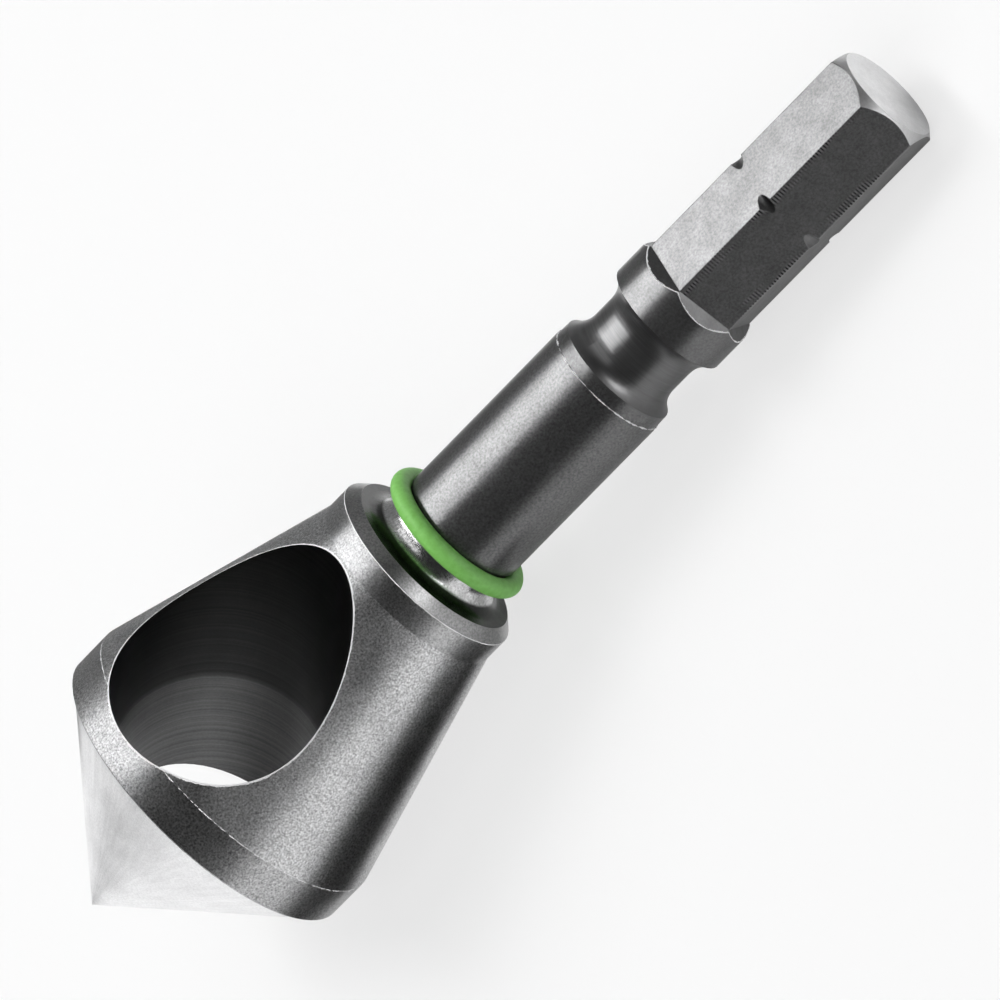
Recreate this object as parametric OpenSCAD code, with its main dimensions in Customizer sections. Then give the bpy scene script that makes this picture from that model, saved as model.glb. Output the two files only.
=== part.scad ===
// Cross-hole countersink bit: a solid cutting cone with one large slanted hole through the head.
// The edge that the hole leaves on the cone does the cutting, and the chips leave through the hole.
// The shank is turned and milled for a quick-change chuck: pilot cylinder, groove, collar, hex drive.
// The bit lies as it comes to rest on a table: on the back edge of its land and on one hex flat.

/* [Cutting head] */
// Diameter over the land
head_d = 20; // [16:0.1:26]
// Included angle of the cutting cone
cone_angle = 90; // [75:1:110]
// Step between the ground cone and the land
rim_step = 0.25; // [0.15:0.05:0.5]
// Size of the bevel on the front edge of the land
edge_bevel = 0.1; // [0.05:0.05:0.1]
// Length of the land behind the cutting cone
land_len = 2.55; // [1.5:0.05:4]
// Angle of the tapered back to the axis
back_angle = 15; // [12:0.5:20]
// Diameter of the neck behind the head
neck_d = 12.2; // [10:0.05:15]
// Length of the cylindrical neck
neck_len = 1.55; // [0.5:0.05:4]
// Chamfer on the back of the neck
neck_chamfer = 0.65; // [0.2:0.05:1]

/* [Cross-hole] */
// Diameter of the hole where it crosses the tool axis
hole_d = 11.8; // [9.5:0.05:13]
// Angle between the hole and the tool axis
hole_angle = 45; // [40:0.5:50]
// Slope of the hole's wall, which widens it towards the back
hole_taper = 3.65; // [0:0.05:4]
// Thickness of metal left between the hole and the cutting point
tip_web = 2.15; // [1:0.05:3]
// Turn of the hole around the tool, away from the middle of a flat
hole_turn = 6; // [-30:0.5:30]

/* [Shank] */
// Length from the shoulder to the tail end
shank_len = 37.35; // [32:0.05:50]
// Diameter of the pilot cylinder and the collar
pilot_d = 7.6; // [7.4:0.05:9.5]
// Radius of the fillet at the shoulder
shoulder_r = 1.1; // [0.5:0.05:1.4]
// Diameter at the floor of the drive groove
groove_d = 6; // [5:0.05:6.6]
// Length of the groove's flat floor
groove_floor = 1.4; // [0.5:0.05:3]
// Radius of the groove's two hollow walls
groove_r = 1.6; // [1.2:0.05:3]
// Length of the fine step at the end of the pilot cylinder
step_len = 0.8; // [0.3:0.05:1.5]
// Depth of the fine step where it starts
step_depth = 0.05; // [0.02:0.01:0.1]
// Slope of the step's floor, down to the groove
step_slope = 2; // [1:0.5:4]
// Length of the collar between the groove and the hex
collar_len = 2.05; // [1:0.05:4]

/* [Hex drive] */
// Width across the flats
hex_af = 6.35; // [5.5:0.05:6.4]
// Length of the full flats
hex_len = 15.3; // [12:0.05:20]
// Slope of the flats where they run out into the collar
runout_angle = 45; // [30:1:60]
// Diameter of the flat tail face
tail_d = 6.16; // [5:0.02:6.3]
// Angle of the tail chamfer to the axis
tail_angle = 45; // [30:1:60]
// Distance from the tail face to the middle of the corner notches
notch_from_end = 8.35; // [6:0.05:11]
// Radius of the corner notches
notch_r = 0.4; // [0.2:0.05:0.8]
// Depth of the notches below the hex corners
notch_depth = 0.3; // [0.1:0.05:0.45]

/* [Sealing ring] */
// Thickness of the ring, and the width of its seat
ring_cord = 1.15; // [0.6:0.05:1.6]
// Depth of the seat turned into the pilot cylinder
seat_depth = 0.18; // [0.16:0.02:0.5]
// How far the ring is flattened where it grips the seat
ring_squeeze = 0.01; // [0.01:0.01:0.06]
// Distance between the shoulder fillet and the seat
seat_gap = 0.2; // [0.05:0.05:1]

/* [Hidden] */
$fn = 128;
flats = 6;
overlap = 0.5;
head_r = head_d / 2;
neck_r = neck_d / 2;
pilot_r = pilot_d / 2;
flat_r = hex_af / 2;
tail_r = tail_d / 2;

// Places along the tool axis, from the cutting point
cone_r = head_r - rim_step;
land_start = cone_r / tan(cone_angle / 2);
land_end = land_start + land_len;
neck_start = land_end + (head_r - neck_r) / tan(back_angle);
neck_end = neck_start + neck_len;
shoulder = neck_end + neck_chamfer;
fillet_r = min(shoulder_r, neck_r - neck_chamfer - pilot_r);
seat_start = shoulder + fillet_r + seat_gap;
seat_r = pilot_r - seat_depth;
ring_mid = seat_start + ring_cord / 2;
tail_end = shoulder + shank_len;
hex_start = tail_end - hex_len;
collar_end = hex_start - (pilot_r - flat_r) / tan(runout_angle);
groove_end = collar_end - collar_len;
groove_depth = (pilot_d - groove_d) / 2;
groove_wall = sqrt(pow(groove_r, 2) - pow(groove_r - groove_depth, 2));
groove_start = groove_end - 2 * groove_wall - groove_floor;
tail_chamfer_start = tail_end - (pilot_r - tail_r) / tan(tail_angle);
corner_r = flat_r / cos(180 / flats);
notch_mid = tail_end - notch_from_end;
hole_slope = tan(hole_taper);
hole_cross = (hole_d / 2 + tip_web) / (sin(hole_angle) + hole_slope * cos(hole_angle));

// The resting pose: the land's back edge and the end of the lowest flat are on the table
flat_end = tail_end - (flat_r - tail_r) / tan(tail_angle);
rest_tilt = atan((head_r - flat_r) / (flat_end - land_end));
rest_height = land_end * sin(rest_tilt) + head_r * cos(rest_tilt);
rest_span = tail_end * cos(rest_tilt) + tail_r * sin(rest_tilt);

// Lays a tool that was drawn upright, point down, on the table with its shank towards +X
module lay() {
    translate([-rest_span / 2, 0, rest_height])
        rotate([0, rest_tilt, 0])
            rotate([0, 90, 0])
                rotate([0, 0, 180])
                    children();
}

// Half section of the turned outline, with the radius across and the tool axis upwards
module turned_outline() {
    polygon([
        [0, 0],
        [cone_r, land_start],
        [head_r - edge_bevel, land_start],
        [head_r, land_start + edge_bevel],
        [head_r, land_end],
        [neck_r, neck_start],
        [neck_r, neck_end],
        [neck_r - neck_chamfer, shoulder],
        [pilot_r, shoulder],
        [pilot_r, tail_chamfer_start],
        [tail_r, tail_end],
        [0, tail_end]
    ]);
}

// Hollow fillet between the shoulder and the pilot cylinder, no larger than the shoulder is high
module shoulder_fillet() {
    difference() {
        translate([pilot_r - overlap, shoulder - overlap])
            square(fillet_r + overlap);
        translate([pilot_r + fillet_r, shoulder + fillet_r])
            circle(r = fillet_r);
    }
}

// Shallow square groove that keeps the sealing ring in its place
module ring_seat() {
    translate([seat_r, seat_start])
        square([seat_depth + overlap, ring_cord]);
}

// Fine step that ends the pilot cylinder, with a floor that slopes down to the drive groove
module pilot_step() {
    step_r = pilot_r - step_depth;
    step_start = groove_start - step_len;
    step_end = groove_start + overlap;
    polygon([
        [pilot_r + overlap, step_start],
        [step_r, step_start],
        [step_r - (step_end - step_start) * tan(step_slope), step_end],
        [pilot_r + overlap, step_end]
    ]);
}

// Drive groove with a flat floor between two hollow walls
module drive_groove() {
    floor_r = groove_d / 2;
    floor_start = groove_start + groove_wall;
    for (end = [floor_start, floor_start + groove_floor])
        translate([floor_r + groove_r, end])
            circle(r = groove_r);
    translate([floor_r, floor_start])
        square([groove_r, groove_floor]);
}

// Round-bottomed ring cut that leaves a notch in each corner of the hex
module corner_notch() {
    translate([corner_r - notch_depth + notch_r, notch_mid])
        circle(r = notch_r);
}

// The bar as it leaves the lathe
module turned_blank() {
    rotate_extrude()
        difference() {
            union() {
                turned_outline();
                shoulder_fillet();
            }
            ring_seat();
            pilot_step();
            drive_groove();
            corner_notch();
        }
}

// What the cutter takes off for one flat, with its sloping run-out into the collar
module flat_cut() {
    reach = pilot_r + overlap;
    rotate([90, 0, 0])
        linear_extrude(height = 2 * pilot_d, center = true)
            polygon([
                [flat_r, tail_end + overlap],
                [flat_r, hex_start],
                [reach, hex_start - (reach - flat_r) / tan(runout_angle)],
                [reach, tail_end + overlap]
            ]);
}

// Slanted hole from the tapered back, through the tool axis, and out of the cutting cone
module cross_hole() {
    reach = 1.5 * head_d;
    rotate([0, 0, hole_turn])
        translate([0, 0, hole_cross])
            rotate([0, hole_angle, 0])
                cylinder(
                    h = 2 * reach,
                    d1 = hole_d - 2 * reach * hole_slope,
                    d2 = hole_d + 2 * reach * hole_slope,
                    center = true
                );
}

module cutter_body() {
    color([0.62, 0.62, 0.63])
        lay()
            difference() {
                turned_blank();
                for (i = [0 : flats - 1])
                    rotate([0, 0, i * 360 / flats])
                        flat_cut();
                cross_hole();
            }
}

// Round rubber ring, flattened where it grips the floor of its seat
module sealing_ring() {
    color([0.36, 0.70, 0.28])
        lay()
            rotate_extrude()
                difference() {
                    translate([seat_r + ring_cord / 2 - ring_squeeze, ring_mid])
                        circle(d = ring_cord);
                    translate([0, ring_mid - ring_cord])
                        square([seat_r, 2 * ring_cord]);
                }
}

cutter_body();
sealing_ring();
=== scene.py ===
import math

import bpy
from mathutils import Matrix, Vector

# Looks of a cross-hole countersink bit: the camera, a finish for each zone of the steel, and the studio.
# The world is in metres. The tool's own frame is in millimetres from the cutting point: x along the axis
# to the tail, y sideways and z up away from the table.
MM = 0.001

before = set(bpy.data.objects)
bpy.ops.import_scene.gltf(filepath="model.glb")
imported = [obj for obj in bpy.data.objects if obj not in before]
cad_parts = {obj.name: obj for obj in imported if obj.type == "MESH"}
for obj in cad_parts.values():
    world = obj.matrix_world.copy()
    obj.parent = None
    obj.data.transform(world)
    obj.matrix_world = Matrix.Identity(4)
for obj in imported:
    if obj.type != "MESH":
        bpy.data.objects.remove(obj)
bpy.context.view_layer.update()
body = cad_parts["cutter_body"]
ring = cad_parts["sealing_ring"]
scene = bpy.context.scene

# Sizes of the bit in its own frame
HEAD_R = 10
LAND_END = 12.3
NECK_END = 28.4
STEP_START = 43.46
RUNOUT_START = 50.4
HEX_START = 51.1
NOTCH_END = 60
TAIL_END = 66.405
COLLAR_R = 3.8
FLAT_R = 3.175
TAIL_R = 3.08

# The hex: half the angle that a flat takes around the axis, and the radius to the corners
HALF_FLAT = math.radians(30)
CORNER_R = FLAT_R / math.cos(HALF_FLAT)

# The cross-hole: radius and place where it crosses the tool axis, and direction from there to the back
HOLE_R = 5.9
HOLE_ANGLE = math.radians(45)
HOLE_TURN = math.radians(6)
HOLE_SLOPE = math.tan(math.radians(3.65))
TIP_WEB = 2.15
CROSS_X = (HOLE_R + TIP_WEB) / (math.sin(HOLE_ANGLE) + HOLE_SLOPE * math.cos(HOLE_ANGLE))
HOLE_CROSS = Vector((CROSS_X, 0, 0))
HOLE_WAY = Vector((
    math.cos(HOLE_ANGLE),
    -math.sin(HOLE_ANGLE) * math.sin(HOLE_TURN),
    math.sin(HOLE_ANGLE) * math.cos(HOLE_TURN),
))

# The bit rests on the back edge of its land and on the end of its lowest flat, ahead of the tail chamfer
FLAT_END = TAIL_END - (FLAT_R - TAIL_R)
TILT = math.atan((HEAD_R - FLAT_R) / (FLAT_END - LAND_END))
REST_HEIGHT = LAND_END * math.sin(TILT) + HEAD_R * math.cos(TILT)
REST_SPAN = TAIL_END * math.cos(TILT) + TAIL_R * math.sin(TILT)
TIP = Vector((-REST_SPAN / 2, 0, REST_HEIGHT)) * MM

# The tool's directions in the world
ALONG = Vector((math.cos(TILT), 0, -math.sin(TILT)))
SIDE = Vector((0, 1, 0))
UP = Vector((math.sin(TILT), 0, math.cos(TILT)))


def on_axis(x):
    """The place in the world at a distance along the tool axis."""
    return TIP + ALONG * (x * MM)


def to_tool(v):
    """A direction, or a place taken from the tip, in the tool's frame."""
    return Vector((v.dot(ALONG), v.dot(SIDE), v.dot(UP)))


def posed(spot, x, y, z):
    """Matrix that puts an object at a place, with its own axes along three directions."""
    return Matrix.Translation(spot) @ Matrix((x, y, z)).transposed().to_4x4()


# Camera
ROLL = math.radians(51)
LEAN = math.radians(18.2)
TWIST = math.radians(0.069)
PICTURE_TURN = math.radians(45.447)
CAMERA_DISTANCE = 0.7
AIM_X = 34.07
AIM_BELOW = 0.423

# Square to the tool axis: towards the camera's side of the tool, and across the picture of the tool
facing = UP * math.sin(ROLL) - SIDE * math.cos(ROLL)
across = UP * math.cos(ROLL) + SIDE * math.sin(ROLL)

# From the tool to the camera, leaning towards the tail, and the picture's own directions
view = facing * math.cos(LEAN) + ALONG * math.sin(LEAN)
sideways = ALONG * math.cos(LEAN) - facing * math.sin(LEAN)
image_along = sideways * math.cos(TWIST) - across * math.sin(TWIST)
image_across = sideways * math.sin(TWIST) + across * math.cos(TWIST)
image_right = image_along * math.cos(PICTURE_TURN) - image_across * math.sin(PICTURE_TURN)
image_up = image_along * math.sin(PICTURE_TURN) + image_across * math.cos(PICTURE_TURN)

camera_data = bpy.data.cameras.new("camera")
camera_data.sensor_width = 36
camera_data.lens = 454.2
camera_data.clip_start = 0.05
camera_data.clip_end = 20
camera = bpy.data.objects.new("camera", camera_data)
scene.collection.objects.link(camera)
aim = on_axis(AIM_X) - across * (AIM_BELOW * MM)
camera.matrix_world = posed(aim + view * CAMERA_DISTANCE, image_right, image_up, view)
scene.camera = camera


# Node trees. Most of a noise lies between these two values
NOISE_LOW = 0.3
NOISE_HIGH = 0.7


class Tree:
    """A node tree with short calls: each returns an output that the next call can take as an input."""

    def __init__(self, tree):
        self.tree = tree

    def node(self, kind, inputs=None, output=0, **settings):
        n = self.tree.nodes.new("ShaderNode" + kind)
        for key, value in settings.items():
            setattr(n, key, value)
        for key, value in (inputs or {}).items():
            self.put(n.inputs[key], value)
        return n.outputs[output]

    def put(self, socket, value):
        """Links an output to a socket, or sets the socket to a number, vector or colour."""
        if isinstance(value, bpy.types.NodeSocket):
            self.tree.links.new(value, socket)
        elif socket.type == "RGBA" and len(value) == 3:
            socket.default_value = (*value, 1)
        else:
            socket.default_value = value

    def math(self, operation, a, b=0.0, c=0.0, clamp=False):
        return self.node("Math", {0: a, 1: b, 2: c}, operation=operation, use_clamp=clamp)

    def vector(self, operation, a, b=(0, 0, 0), c=(0, 0, 0), output="Vector"):
        return self.node("VectorMath", {0: a, 1: b, 2: c}, output, operation=operation)

    def ramp(self, value, low, high, to_low=0.0, to_high=1.0, smooth=False):
        """Maps a value that goes from low to high onto to_low to to_high, and holds it past both ends."""
        ends = {"Value": value, "From Min": low, "From Max": high, "To Min": to_low, "To Max": to_high}
        return self.node("MapRange", ends, interpolation_type="SMOOTHSTEP" if smooth else "LINEAR")

    def mix_colors(self, share, a, b):
        """Mix of two colours, which are inputs 6 and 7 of the node and its output 2."""
        return self.node("Mix", {0: share, 6: a, 7: b}, 2, data_type="RGBA")

    def mix_numbers(self, share, a, b):
        """Mix of two numbers, which are inputs 2 and 3 of the node and its output 0."""
        return self.node("Mix", {0: share, 2: a, 3: b}, 0, data_type="FLOAT")

    def noise(self, vector, scale=1.0, detail=3.0, roughness=0.5):
        inputs = {"Vector": vector, "Scale": scale, "Detail": detail, "Roughness": roughness}
        return self.node("TexNoise", inputs)

    def ray(self, kind):
        """1 for rays of one kind, such as Camera or Glossy, and 0 for the rest."""
        return self.node("LightPath", output=f"Is {kind} Ray")


# Stains in the roughness lie elsewhere than those in the shade, and are a little smaller
STAIN_OFFSET = (31, 17, 5)
ROUGH_STAIN_SCALE = 1.4

# Painted highlights on edges: noise per millimetre that breaks them up, widest share of the width, and their
# shade
HIGHLIGHT_BREAK_SCALE = 2.5
HIGHLIGHT_MOST = 1.3
EDGE_HIGHLIGHT_SHADE = 0.9

# Cutter marks: direction of the flat that has them, shape of their patches, and where they fade
LOWER_FLAT = (0, -math.sin(2 * HALF_FLAT), math.cos(2 * HALF_FLAT))
PATCH_STRETCH = (0.35, 2, 2)
PATCH_LOW = 0.45
PATCH_HIGH = 0.6
FULL_SHARE = 0.6

# Steel is a touch bluer than grey
BLUE_SHARE = 1.01


class Steel(Tree):
    """Bare steel of one zone, with its colour, roughness and height built up from layers, some of which
    paint shade or highlights.

    Sizes are in millimetres. A roughness and its stains stay on one side of 0.274, because stains that
    crossed it left small spots in the denoised render.
    """

    def __init__(self, name, color, roughness, stretch=0.0, metal=1.0):
        self.material = bpy.data.materials.new(name)
        self.material.use_nodes = True
        super().__init__(self.material.node_tree)
        self.shader = self.tree.nodes["Principled BSDF"]
        self.shader.inputs["Metallic"].default_value = metal
        self.metal = metal
        self.color = color
        self.roughness = roughness
        self.shade = None
        self.rough = None
        self.height = None
        self.bright = None
        place = self.node("TexCoord", output="Object")
        tool_frame = {"Location": tuple(TIP), "Rotation": (0, TILT, 0), "Scale": (MM, MM, MM)}
        self.tool = self.node("Mapping", {"Vector": place, **tool_frame}, vector_type="TEXTURE")
        self.along = self.node("SeparateXYZ", {0: self.tool}, "X")
        outward = self.vector("MULTIPLY", self.tool, (0, 1, 1))
        self.radius = self.vector("LENGTH", outward, output="Value")
        self.around = self.vector("NORMALIZE", outward)
        if stretch:
            # Marks that run round the axis spread a reflection along the outline
            normal = self.node("NewGeometry", output="Normal")
            from_tip = self.vector("SUBTRACT", place, tuple(TIP))
            round_axis = self.vector("CROSS_PRODUCT", tuple(ALONG), from_tip)
            self.put(self.shader.inputs["Tangent"], self.vector("CROSS_PRODUCT", normal, round_axis))
            self.shader.inputs["Anisotropic"].default_value = stretch

    def add(self, name, value):
        """Multiplies a layer into the shade or the roughness, or adds it to the height."""
        old = getattr(self, name)
        if old is not None:
            value = self.math("ADD" if name == "height" else "MULTIPLY", old, value)
        setattr(self, name, value)

    def vary(self, name, noise, amount):
        """Varies the shade or the roughness up and down by an amount, with a noise."""
        self.add(name, self.ramp(noise, NOISE_LOW, NOISE_HIGH, 1 - amount, 1 + amount))

    def emboss(self, noise, amount, bump):
        """Marks from a noise, in the shade and in the height."""
        self.vary("shade", noise, amount)
        self.add("height", self.math("MULTIPLY", noise, bump))

    def along_hole(self):
        """The place from the hole's crossing with the tool axis, and its distance along the hole."""
        from_cross = self.vector("SUBTRACT", self.tool, tuple(HOLE_CROSS))
        return from_cross, self.vector("DOT_PRODUCT", from_cross, tuple(HOLE_WAY), output="Value")

    # Marks all over a zone
    def stains(self, size, amount, rough_amount=0.15):
        """Soft stains in the shade, and others in the roughness."""
        self.vary("shade", self.noise(self.tool, 1 / size), amount)
        elsewhere = self.vector("ADD", self.tool, STAIN_OFFSET)
        self.vary("rough", self.noise(elsewhere, ROUGH_STAIN_SCALE / size), rough_amount)
        return self

    def grain(self, size, amount, bump):
        """Fine blasted grain."""
        self.emboss(self.noise(self.tool, 1 / size, detail=2.0, roughness=0.6), amount, bump)
        return self

    def turning(self, pitch, amount, bump, swirl=1.2):
        """Turned marks round the axis, which change slowly on their way round."""
        outline = self.math("DIVIDE", self.math("ADD", self.along, self.radius), pitch)
        place = self.vector("MULTIPLY_ADD", self.around, (swirl,) * 3, self.node("CombineXYZ", {0: outline}))
        self.emboss(self.noise(place, roughness=0.6), amount, bump)
        return self

    def streaks(self, fine, amount, bump, per_mm=0.5):
        """Ground marks along the outline, finer around the axis and slower along it."""
        slow = self.node("CombineXYZ", {0: self.math("MULTIPLY", self.along, per_mm)})
        place = self.vector("MULTIPLY_ADD", self.around, (fine,) * 3, slow)
        self.emboss(self.noise(place, roughness=0.6), amount, bump)
        return self

    # Marks and painted shade in one place
    def painted_foot_shade(self, start, end, shade):
        """Painted shade at the foot of the shoulder, which lightens to its normal shade from start to end
        along the axis.
        """
        self.add("shade", self.ramp(self.along, start, end, shade, 1.0, smooth=True))
        return self

    def bore(self, start, end, shade, pitch, amount):
        """Wall with painted shade that darkens it from start to end along the hole, and drill marks round
        the hole.
        """
        along = self.along_hole()[1]
        self.add("shade", self.ramp(along, start, end, 1.0, shade, smooth=True))
        turns = self.node("CombineXYZ", {0: self.math("DIVIDE", along, pitch)})
        self.vary("shade", self.noise(turns, roughness=0.7), amount)
        return self

    def ticks(self, pitch, length, amount):
        """Short cutter marks across the lower flat, in patches along the corners of the hex."""
        toward_flat = self.vector("DOT_PRODUCT", self.around, LOWER_FLAT, output="Value")
        on_flat = self.math("GREATER_THAN", toward_flat, math.cos(HALF_FLAT))
        corner = self.math("SUBTRACT", CORNER_R, self.radius)
        near_corner = self.ramp(corner, FULL_SHARE * length, length, 1.0, 0.0)
        long_noise = self.noise(self.vector("MULTIPLY", self.tool, PATCH_STRETCH), detail=2.0)
        patch = self.ramp(long_noise, PATCH_LOW, PATCH_HIGH)
        near = self.math("MULTIPLY", self.math("MULTIPLY", near_corner, patch), on_flat)
        wave = self.math("SINE", self.math("MULTIPLY", self.along, 2 * math.pi / pitch))
        self.add("shade", self.math("MULTIPLY_ADD", self.math("MULTIPLY", wave, near), amount, 1.0))
        return self

    # Painted highlights on edges
    def rim(self, distance, width, least):
        """Painted highlight: a bright line within a width of an edge, which breaks up where its least share
        is below zero.
        """
        breakup = self.noise(self.tool, HIGHLIGHT_BREAK_SCALE, roughness=0.7)
        reach = self.math("MULTIPLY", self.ramp(breakup, NOISE_LOW, NOISE_HIGH, least, HIGHLIGHT_MOST), width)
        line = self.math("LESS_THAN", distance, reach)
        self.bright = line if self.bright is None else self.math("MAXIMUM", self.bright, line)
        return self

    def ring_edge(self, x, width, least=0.4):
        """Painted highlight on an edge that runs round the tool."""
        return self.rim(self.math("ABSOLUTE", self.math("SUBTRACT", self.along, x)), width, least)

    def runout_edge(self, width, least=0.4):
        """Painted highlight on the edge between a run-out and the collar."""
        return self.rim(self.math("SUBTRACT", COLLAR_R, self.radius), width, least)

    def hole_edge(self, width, least=0.4):
        """Painted highlight on the edge round the mouth of the hole."""
        from_cross, along = self.along_hole()
        foot = self.node("VectorMath", {0: tuple(HOLE_WAY), "Scale": along}, operation="SCALE")
        away = self.vector("LENGTH", self.vector("SUBTRACT", from_cross, foot), output="Value")
        wall = self.math("MULTIPLY_ADD", along, HOLE_SLOPE, HOLE_R)
        return self.rim(self.math("SUBTRACT", away, wall), width, least)

    def done(self, edge=0.05):
        """Joins the layers to the shader, with the body's edges shaded round by a radius."""
        inputs = self.shader.inputs
        shade = self.math("MULTIPLY", self.shade, self.color)
        # Painted highlights on the edges: a pale, dull line in place of the metal
        if self.bright is not None:
            shade = self.mix_numbers(self.bright, shade, EDGE_HIGHLIGHT_SHADE)
            self.put(inputs["Metallic"], self.math("SUBTRACT", self.metal, self.bright, clamp=True))
        blue = self.math("MULTIPLY", shade, BLUE_SHARE)
        self.put(inputs["Base Color"], self.node("CombineColor", {0: shade, 1: shade, 2: blue}))
        self.put(inputs["Roughness"], self.math("MULTIPLY", self.rough, self.roughness))
        relief = {"Height": self.height, "Strength": 1.0, "Distance": MM}
        if edge:
            relief["Normal"] = self.node("Bevel", {"Radius": edge * MM}, samples=8)
        self.put(inputs["Normal"], self.node("Bump", relief))
        return self.material


STRETCH = 0.83
DARK_METAL = 0.86
# In these finishes the hole's wall and the shoulder's foot carry painted shade, and the bright edge lines
# are painted highlights.
FINISH = {
    "hole": (
        Steel("bored_hole", color=0.11, roughness=0.4)
        .stains(size=3, amount=0.1, rough_amount=0.05)
        # Painted shade deep in the hole, with drill marks
        .bore(start=1.2, end=2.0, shade=0.25, pitch=0.25, amount=0.35)
        .grain(size=0.14, amount=0.08, bump=0.001)
        .done(edge=0)
    ),
    "cone": (
        Steel("ground_cone", color=0.86, roughness=0.335)
        .stains(size=2.5, amount=0.05)
        .streaks(fine=25, amount=0.06, bump=0.0006)
        .grain(size=0.12, amount=0.1, bump=0.0008)
        .done(edge=0)
    ),
    "land": (
        Steel("turned_land", color=0.46, roughness=0.42, stretch=STRETCH)
        .stains(size=3, amount=0.08)
        .grain(size=0.12, amount=0.5, bump=0.008)
        .hole_edge(width=0.09)
        .ring_edge(LAND_END, width=0.09, least=-0.6)
        .done()
    ),
    "back": (
        Steel("turned_back", color=0.58, roughness=0.42, stretch=STRETCH)
        .stains(size=3, amount=0.08)
        .grain(size=0.12, amount=0.5, bump=0.008)
        .hole_edge(width=0.09)
        .done()
    ),
    "neck": (
        Steel("turned_neck", color=0.48, roughness=0.4, stretch=STRETCH)
        .stains(size=3, amount=0.08)
        .grain(size=0.12, amount=0.4, bump=0.006)
        .ring_edge(NECK_END, width=0.06)
        .done()
    ),
    "chamfer": (
        Steel("turned_chamfer", color=0.3, roughness=0.335, stretch=0.7)
        .stains(size=2, amount=0.1)
        .grain(size=0.12, amount=0.3, bump=0.004)
        .done()
    ),
    "shoulder": (
        Steel("polished_shoulder", color=0.6, roughness=0.235, stretch=0.5)
        .stains(size=1, amount=0.15)
        .grain(size=0.14, amount=0.3, bump=0.005)
        # Painted shade on the shoulder's flat face, at its foot
        .painted_foot_shade(start=29.3, end=29.46, shade=0.07)
        .done()
    ),
    "pilot": (
        Steel("dark_pilot", color=0.15, roughness=0.31, metal=DARK_METAL)
        .stains(size=3, amount=0.08, rough_amount=0.08)
        .grain(size=0.14, amount=0.3, bump=0.006)
        .ring_edge(STEP_START, width=0.05, least=-0.6)
        .done(edge=0)
    ),
    "groove": (
        Steel("dark_groove", color=0.14, roughness=0.3, metal=DARK_METAL)
        .stains(size=2, amount=0.1, rough_amount=0.07)
        .turning(pitch=0.1, amount=0.15, bump=0.003)
        .done(edge=0)
    ),
    "collar": (
        Steel("dark_collar", color=0.15, roughness=0.3, metal=DARK_METAL)
        .stains(size=2, amount=0.1, rough_amount=0.07)
        .grain(size=0.14, amount=0.2, bump=0.004)
        .done(edge=0)
    ),
    "milled": (
        Steel("milled_steel", color=0.14, roughness=0.35)
        .stains(size=1, amount=0.1)
        .grain(size=0.15, amount=0.1, bump=0.002)
        .runout_edge(width=0.07)
        .done()
    ),
    "flats": (
        Steel("milled_flats", color=0.18, roughness=0.34, metal=0.82)
        .stains(size=1.2, amount=0.12, rough_amount=0.05)
        .grain(size=0.14, amount=0.22, bump=0.002)
        .ticks(pitch=0.2, length=0.26, amount=0.9)
        .done(edge=0.1)
    ),
    "tail": (
        Steel("tail_chamfer", color=0.5, roughness=0.35)
        .stains(size=1, amount=0.06)
        .grain(size=0.16, amount=0.05, bump=0.001)
        .done()
    ),
    "end": (
        Steel("tail_end", color=0.76, roughness=0.35)
        .stains(size=1, amount=0.06)
        .grain(size=0.16, amount=0.05, bump=0.001)
        .done()
    ),
}

# Where each turned zone ends along the tool axis: its faces have their middles before this place
ZONE_ENDS = [
    ("cone", 9.74),
    ("land", LAND_END),
    ("back", 26.85),
    ("neck", NECK_END),
    ("chamfer", 29.0),
    ("shoulder", 30.16),
    ("pilot", 44.1),
    ("groove", 48.43),
    ("collar", NOTCH_END),
    ("tail", 67.0),
]

# How far a face may lie from its zone's surface, and its unit normal from the zone's direction
WALL_SLACK = 0.06
SIZE_SLACK = 0.01
NORMAL_SLACK = 0.02
FACES_AXIS = -0.9
FACES_TAIL = 0.99


def zone_of(middle, normal):
    """The finish zone of a face, from its middle and normal in the tool's frame."""
    from_cross = middle - HOLE_CROSS
    along = from_cross.dot(HOLE_WAY)
    out = from_cross - HOLE_WAY * along
    wall_r = HOLE_R + HOLE_SLOPE * along
    if abs(out.length - wall_r) < WALL_SLACK and normal.dot(out.normalized()) < FACES_AXIS:
        return "hole"
    on_flat = abs(normal.x) < NORMAL_SLACK and abs(middle.dot(normal) - FLAT_R) < SIZE_SLACK
    if middle.x > HEX_START and on_flat:
        return "flats"
    on_collar = abs(math.hypot(middle.y, middle.z) - COLLAR_R) < SIZE_SLACK
    if RUNOUT_START < middle.x < NOTCH_END and not on_collar:
        return "milled"
    if middle.x > NOTCH_END and normal.x > FACES_TAIL:
        return "end"
    return next(zone for zone, end in ZONE_ENDS if middle.x < end)


# The rubber's two greens
DARK_GREEN = (0.185, 0.49, 0.095)
LIGHT_GREEN = (0.235, 0.585, 0.14)


def rubber():
    """Green rubber with fine specks."""
    m = bpy.data.materials.new("green_rubber")
    m.use_nodes = True
    t = Tree(m.node_tree)
    inputs = t.tree.nodes["Principled BSDF"].inputs
    speck = t.noise(t.node("TexCoord", output="Object"), scale=3 / MM, detail=4.0, roughness=0.6)
    share = t.ramp(speck, NOISE_LOW, NOISE_HIGH)
    t.put(inputs["Base Color"], t.mix_colors(share, DARK_GREEN, LIGHT_GREEN))
    inputs["Roughness"].default_value = 0.5
    t.put(inputs["Normal"], t.node("Bump", {"Height": speck, "Strength": 0.3, "Distance": 0.05 * MM}))
    return m


def dress(piece, materials):
    """Gives a piece its materials in place of those that it came with."""
    piece.data.materials.clear()
    for material in materials:
        piece.data.materials.append(material)


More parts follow.
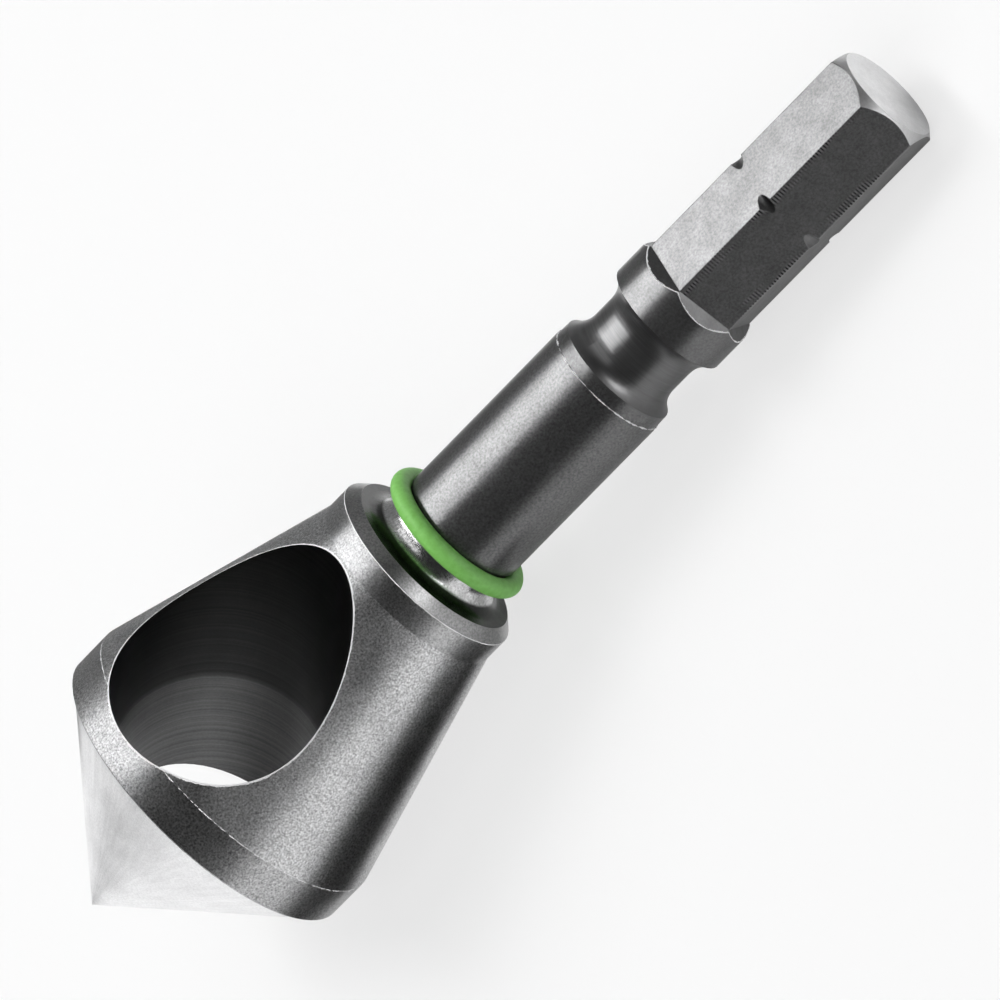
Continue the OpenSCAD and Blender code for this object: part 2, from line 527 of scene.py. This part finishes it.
dress(ring, [rubber()])
dress(body, FINISH.values())
zones = list(FINISH)
for face in body.data.polygons:
    face.material_index = zones.index(zone_of(to_tool(face.center - TIP) / MM, to_tool(face.normal)))


# Floor and cards
FLOOR_SIZE = 3
LEVEL_X = Vector((1, 0, 0))
LEVEL_Y = Vector((0, 1, 0))
UPRIGHT = Vector((0, 0, 1))
PAPER_SHADE = 0.93
PAPER_GLOW = 0.95
SEEN_GLOW = 0.72
MIRRORED_GLOW = 0.08


def plane(name, middle, x_way, y_way, size):
    """Flat rectangle in the studio, which isn't part of the object."""
    bpy.ops.mesh.primitive_plane_add(size=1)
    o = bpy.context.object
    o.name = name
    x = x_way.normalized()
    y = y_way.normalized()
    o.matrix_world = posed(middle, x, y, x.cross(y)) @ Matrix.Diagonal((*size, 1, 1))
    return o


def paper():
    """White paper that keeps shadows, and glows in part to the camera, through the hole and in the metal."""
    m = bpy.data.materials.new("paper")
    m.use_nodes = True
    t = Tree(m.node_tree)
    diffuse = t.tree.nodes["Principled BSDF"]
    diffuse.inputs["Base Color"].default_value = (PAPER_SHADE, PAPER_SHADE, PAPER_SHADE, 1)
    diffuse.inputs["Roughness"].default_value = 0.9
    diffuse.inputs["Specular IOR Level"].default_value = 0.0
    seen = t.math("MULTIPLY", t.math("ADD", t.ray("Camera"), t.ray("Transmission")), SEEN_GLOW)
    share = t.math("MULTIPLY_ADD", t.ray("Glossy"), MIRRORED_GLOW, seen)
    glow = t.node("Emission", {"Color": (1, 1, 1), "Strength": PAPER_GLOW})
    mixed = t.node("MixShader", {0: share, 1: diffuse.outputs[0], 2: glow})
    t.put(t.tree.nodes["Material Output"].inputs["Surface"], mixed)
    return m


def card(name, middle, x_way, y_way, size, shade=0.0, glow=0.0):
    """Card of a size in millimetres that only shows in reflections, to darken or brighten the steel."""
    o = plane(name, middle, x_way, y_way, (size[0] * MM, size[1] * MM))
    m = bpy.data.materials.new(name)
    m.use_nodes = True
    inputs = m.node_tree.nodes["Principled BSDF"].inputs
    inputs["Base Color"].default_value = (shade, shade, shade, 1)
    inputs["Specular IOR Level"].default_value = 0.0
    inputs["Emission Color"].default_value = (1, 1, 1, 1)
    inputs["Emission Strength"].default_value = glow
    o.data.materials.append(m)
    o.visible_camera = False
    o.visible_diffuse = False
    o.visible_shadow = False
    o.visible_transmission = False


def beside(x, side, z):
    """A place by its distance along the tool, then sideways and above the table, in millimetres."""
    return Vector((on_axis(x).x, side * MM, z * MM))


floor = plane("floor", Vector((0, 0, 0)), LEVEL_X, LEVEL_Y, (FLOOR_SIZE, FLOOR_SIZE))
floor.data.materials.append(paper())

# Upright card behind the bit
card("grey_card", beside(36, 22, 13), LEVEL_X, UPRIGHT, size=(90, 26), shade=0.4)

# Low cards on the table, beside and under the head, turned a little from the tool
CARD_TURN = math.radians(14)
card_x = Vector((math.cos(CARD_TURN), math.sin(CARD_TURN), 0))
card_y = Vector((-math.sin(CARD_TURN), math.cos(CARD_TURN), 0))
card("black_card", beside(15, -13, 0.05), card_x, card_y, size=(28, 11), shade=0.04)
card("white_card", beside(16, -3.8, 0.05), card_x, card_y, size=(26, 6.6), glow=0.7)

# Bright card off the tail
card("end_card", beside(116, -35, 13.6), Vector((2, 0, 1)), LEVEL_Y, size=(61, 36), glow=5.0)


# Lights
def area_light(name, toward, distance, long_way, size, radiance, glossy=True, target_x=34):
    """Area lamp that shines on a place of the tool from a direction, with its long side along long_way."""
    data = bpy.data.lights.new(name, "AREA")
    data.shape = "RECTANGLE"
    data.size, data.size_y = size
    data.energy = radiance * math.pi * size[0] * size[1]
    lamp = bpy.data.objects.new(name, data)
    scene.collection.objects.link(lamp)
    back = toward.normalized()
    x = (long_way - back * long_way.dot(back)).normalized()
    lamp.matrix_world = posed(on_axis(target_x) + back * distance, x, back.cross(x), back)
    lamp.visible_glossy = glossy


def around(degrees, lean=0.0):
    """Direction at an angle around the tool from the camera's side, leaning by a share along the axis."""
    angle = math.radians(degrees)
    square = facing * math.cos(angle) + across * math.sin(angle)
    return (square * math.sqrt(1 - lean * lean) + ALONG * lean).normalized()


# Two lamps that the metal mirrors, and two that it doesn't
area_light(
    "strip", around(64, lean=-0.31), distance=0.5, long_way=around(154), size=(0.5, 0.06),
    radiance=13, target_x=43,
)
area_light(
    "panel", around(50, lean=0.3), distance=1.0, long_way=around(140), size=(1.0, 0.5),
    radiance=0.9,
)
area_light(
    "key", around(66, lean=-0.2), distance=1.2, long_way=around(156), size=(0.5, 0.5),
    radiance=4.3, glossy=False,
)
area_light(
    "fill", Vector((-0.3, -0.6, 0.8)), distance=1.2, long_way=LEVEL_X, size=(0.9, 0.9),
    radiance=2.4, glossy=False,
)


def studio():
    """World that is pale to the camera and through the hole, and dimmer in the metal and as light."""
    world = bpy.data.worlds.new("studio")
    world.use_nodes = True
    t = Tree(world.node_tree)
    way = t.node("TexCoord", output="Generated")
    far_side = t.node("SeparateXYZ", {0: way}, "Y")
    height = t.node("SeparateXYZ", {0: way}, "Z")
    sky = t.ramp(far_side, low=0.2, high=0.9, to_low=0.04, to_high=0.5)
    near_floor = t.ramp(height, low=0.0, high=0.2, to_low=0.2, to_high=0.0)
    mirrored = t.math("MULTIPLY", t.ray("Glossy"), near_floor)
    seen = t.math("MAXIMUM", t.ray("Camera"), t.ray("Transmission"))
    color = t.math("MAXIMUM", t.math("ADD", sky, mirrored), t.math("MULTIPLY", seen, PAPER_GLOW))
    t.put(t.tree.nodes["Background"].inputs["Color"], color)
    return world


scene.world = studio()
scene.view_settings.view_transform = "Standard"
